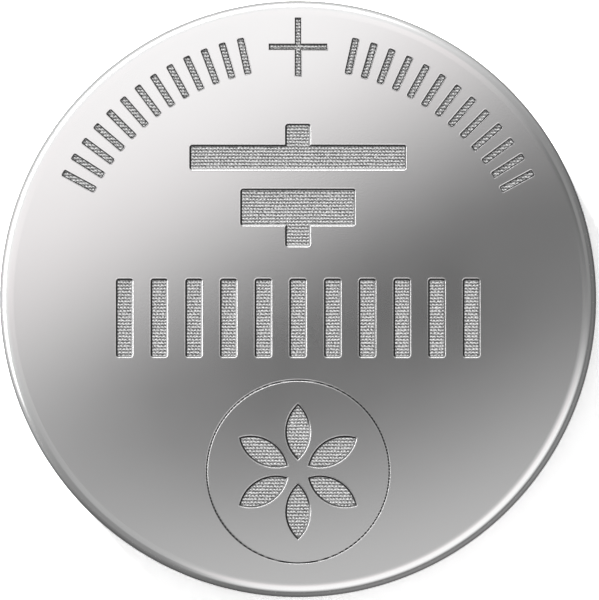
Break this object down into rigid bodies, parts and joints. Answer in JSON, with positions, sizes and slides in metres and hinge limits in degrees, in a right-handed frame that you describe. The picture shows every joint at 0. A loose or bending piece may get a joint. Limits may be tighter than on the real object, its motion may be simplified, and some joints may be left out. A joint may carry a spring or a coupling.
{
  "type": "lithium coin cell",
  "caption": "Round flat battery cell: a stamped steel can crimped over a plastic gasket and a steel cap, with its electrodes inside, lying on its negative terminal.",
  "frame": {"origin": "centre of the negative terminal's flat face, which the cell lies on", "axes": "+Z from the negative terminal to the stamped positive face, +Y to the polarity plus at the top of the picture, +X to the picture's right"},
  "size_m": [0.03, 0.03, 0.0032],
  "materials": {
    "can_steel": "smooth satin nickel plate, with fine grain on the floors of the stamped marks",
    "gasket_plastic": "moulded satin polypropylene",
    "cap_steel": "fine satin drawn sheet",
    "lithium_metal": "dull rolled foil",
    "separator_felt": "matt non-woven felt",
    "cathode_mix": "matt pressed powder",
    "ring_steel": "satin punched sheet"
  },
  "bodies": {
    "root": {"positive_can": "can_steel", "gasket": "gasket_plastic", "negative_cap": "cap_steel", "lithium_disc": "lithium_metal", "separator": "separator_felt", "cathode_pellet": "cathode_mix", "cathode_ring": "ring_steel"}
  },
  "joints": []
}
